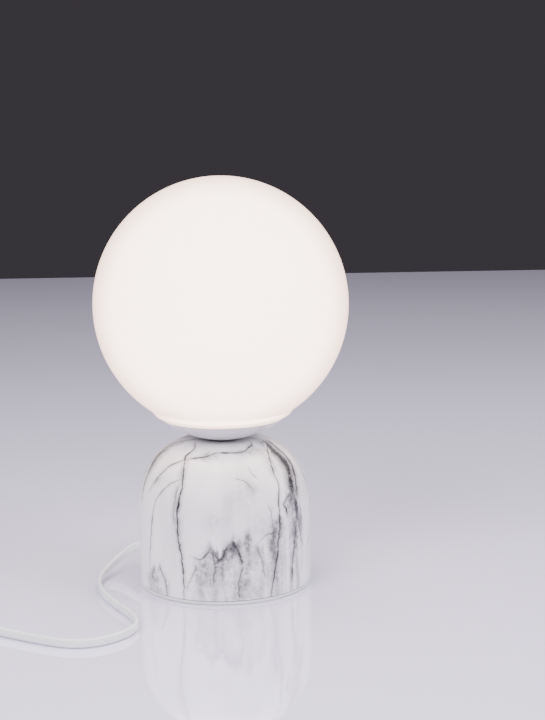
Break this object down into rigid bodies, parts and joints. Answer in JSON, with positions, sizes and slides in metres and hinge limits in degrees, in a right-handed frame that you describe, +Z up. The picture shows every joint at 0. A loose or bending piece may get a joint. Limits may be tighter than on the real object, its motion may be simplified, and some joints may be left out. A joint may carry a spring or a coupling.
{
  "type": "globe table lamp",
  "caption": "Opal glass globe in a shallow white cup on a drum-shaped marble-look base with a domed shoulder, with a flat white mains cord, inline switch and plug.",
  "frame": {"origin": "middle of the foot, on the surface the lamp stands on", "axes": "+Z up through the middle of the base and globe, -Y towards the front, +X to the right seen from the front"},
  "size_m": [0.3865, 0.2664, 0.3233],
  "materials": {
    "white_foam": "matte",
    "plate_paint": "satin",
    "cup_paint": "satin",
    "marble_print": "satin gloss print",
    "zinc_steel": "zinc plated",
    "iron": "rough",
    "spring_steel": "bright",
    "brass": "bright",
    "opal_glass": "gloss",
    "clear_silicone": "satin",
    "white_plastic": "gloss",
    "cord_white": "gloss",
    "holder_white": "matte",
    "insert_beige": "matte",
    "core_brown": "gloss",
    "core_blue": "gloss",
    "bulb_plastic": "matte",
    "bulb_diffuser": "satin",
    "bulb_cap_metal": "bright",
    "contact_black": "gloss",
    "board": "matte",
    "tie_black": "matte"
  },
  "bodies": {
    "base": {"foot_pad": "white_foam", "base_plate": "plate_paint", "plate_screws": "zinc_steel", "ballast_weight": "iron", "ballast_screws": "zinc_steel", "marble_shell": "marble_print", "shell_posts": "zinc_steel", "cord_bushing": "white_plastic", "cord_clamp_base": "white_plastic", "cord_clamp_bar": "white_plastic", "clamp_screws": "zinc_steel", "inner_cord": "cord_white", "live_wire": "core_brown", "neutral_wire": "core_blue", "threaded_tube": "zinc_steel", "crown_nut": "zinc_steel", "crown_washer": "zinc_steel", "globe_cup": "cup_paint", "clip_spider": "spring_steel", "cup_washer": "zinc_steel", "cup_nut": "zinc_steel", "glass_gasket": "clear_silicone", "lampholder_cap": "holder_white", "lampholder_shell": "holder_white", "lampholder_insert": "insert_beige", "screw_sleeve": "brass", "centre_contact": "brass", "terminal_screws": "brass", "power_cord": "cord_white", "switch_lower": "white_plastic", "switch_upper": "white_plastic", "switch_screws": "zinc_steel", "switch_contacts": "brass", "switch_terminals": "brass", "far_cord": "cord_white", "cord_coil": "cord_white", "coil_tie": "tie_black", "plug_cord": "cord_white", "plug_body": "white_plastic", "plug_pins": "zinc_steel", "pin_sleeves": "contact_black"},
    "globe": {"glass_globe": "opal_glass"},
    "bulb_tip": {"bulb_contact": "bulb_cap_metal"},
    "bulb": {"bulb_insulator": "contact_black", "bulb_cap": "bulb_cap_metal", "bulb_housing": "bulb_plastic", "bulb_led_board": "board", "bulb_dome": "bulb_diffuser"},
    "rocker": {"switch_rocker": "white_plastic"}
  },
  "joints": [
    {"name": "globe_lift", "type": "slide", "parent": "base", "child": "globe", "axis": [0, 0, 1], "range_m": [0, 0.14]},
    {"name": "bulb_rise", "type": "slide", "parent": "base", "child": "bulb_tip", "axis": [0, 0, 1], "range_m": [0, 0.0113]},
    {"name": "bulb_turn", "type": "hinge", "parent": "bulb_tip", "child": "bulb", "pos_m": [0, 0, 0.16], "axis": [0, 0, 1], "range_deg": [0, 1440]},
    {"name": "rocker_tilt", "type": "hinge", "parent": "base", "child": "rocker", "pos_m": [-0.21205, -0.09325, 0.0135], "axis": [0.5711, 0.8209, 0], "range_deg": [0, 16]}
  ],
  "couplings": [
    {"joint": "bulb_rise", "follows": "bulb_turn", "m_per_rad": 0.00044882}
  ]
}
